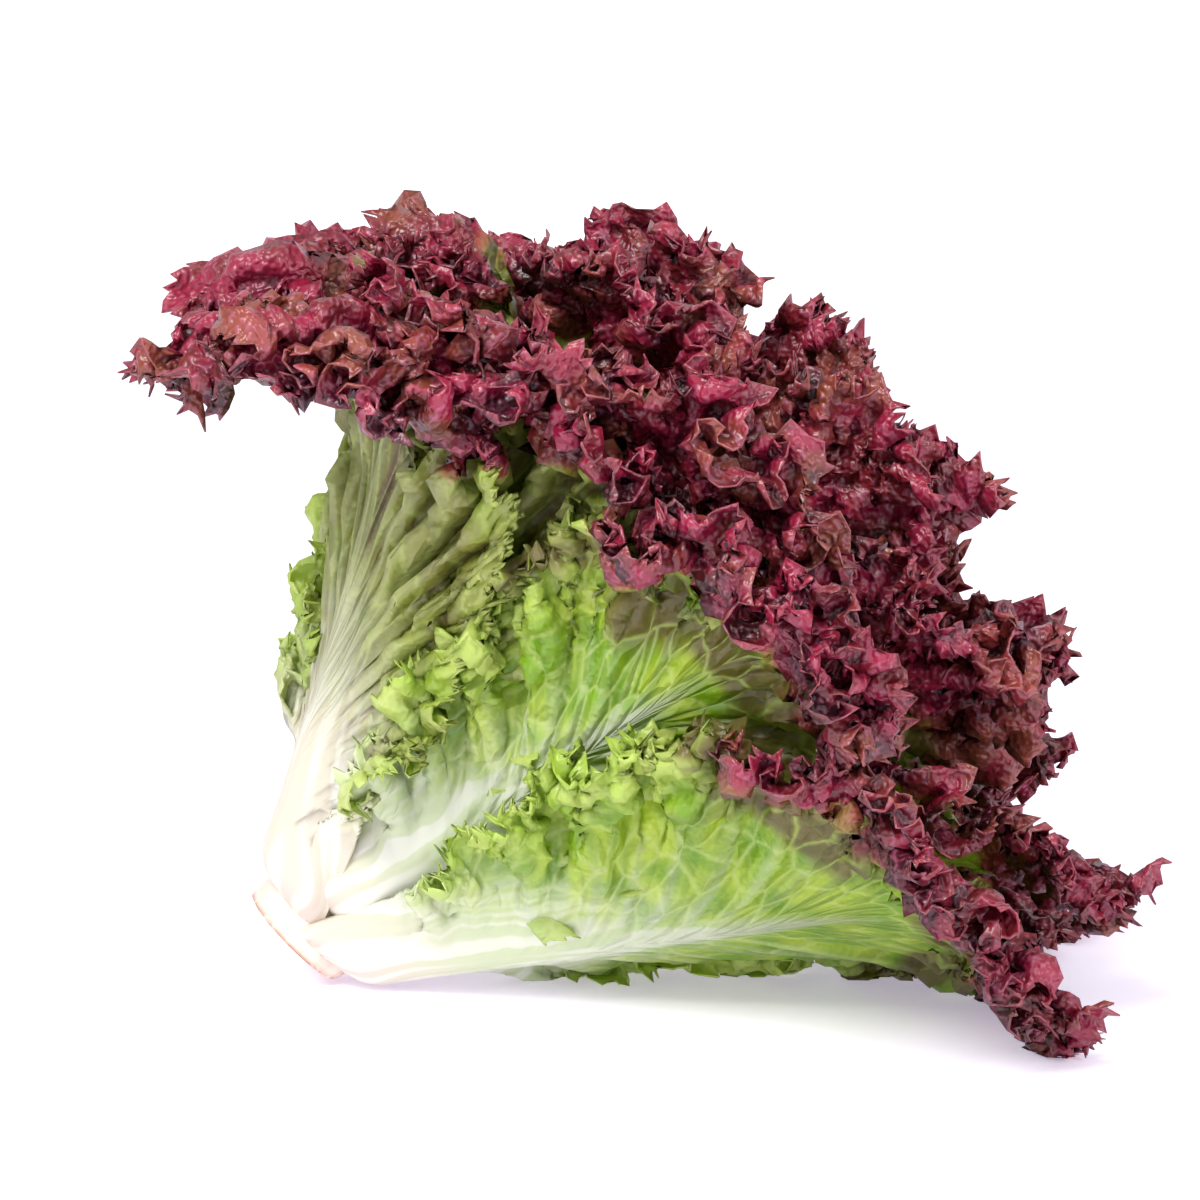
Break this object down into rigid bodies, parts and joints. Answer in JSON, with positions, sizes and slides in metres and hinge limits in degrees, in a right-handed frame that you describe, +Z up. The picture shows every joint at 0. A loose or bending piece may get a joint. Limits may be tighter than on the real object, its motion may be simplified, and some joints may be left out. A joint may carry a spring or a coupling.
{
  "type": "lollo rosso lettuce",
  "caption": "Loose head of red frilled salad lettuce, cut at the stem and lying on its side, with its curled leaf ends fanned out.",
  "frame": {"origin": "on the surface that the head lies on, under the middle of its bounding box", "axes": "+Z is up from that surface; +X runs from the cut stem towards the crown; the head's own axis points 45 degrees up, halfway between +X and +Z; -Y is the side shown in front"},
  "size_m": [0.2212, 0.2704, 0.182],
  "materials": {
    "cut_stem": "moist pale flesh, cream-white, with a thin brown-pink rim where it was cut",
    "frilled_leaf": "semi-gloss leaf: white fleshy rib, bright green veined blade, dark crimson frill",
    "heart_leaf": "semi-gloss thin young leaf, yellow-green below and red along the frill"
  },
  "bodies": {
    "root": {"cut_stem": "cut_stem", "heart_leaf_20": "heart_leaf", "heart_leaf_21": "heart_leaf", "heart_leaf_22": "heart_leaf", "heart_leaf_23": "heart_leaf", "heart_leaf_24": "heart_leaf", "middle_leaf_12": "frilled_leaf", "middle_leaf_13": "frilled_leaf", "middle_leaf_14": "frilled_leaf", "middle_leaf_15": "frilled_leaf", "middle_leaf_16": "frilled_leaf", "middle_leaf_17": "frilled_leaf", "middle_leaf_18": "frilled_leaf", "middle_leaf_19": "frilled_leaf", "outer_leaf_01": "frilled_leaf", "outer_leaf_02": "frilled_leaf", "outer_leaf_03": "frilled_leaf", "outer_leaf_04": "frilled_leaf", "outer_leaf_05": "frilled_leaf", "outer_leaf_06": "frilled_leaf", "outer_leaf_07": "frilled_leaf", "outer_leaf_08": "frilled_leaf", "outer_leaf_09": "frilled_leaf", "outer_leaf_10": "frilled_leaf", "outer_leaf_11": "frilled_leaf"}
  },
  "joints": []
}
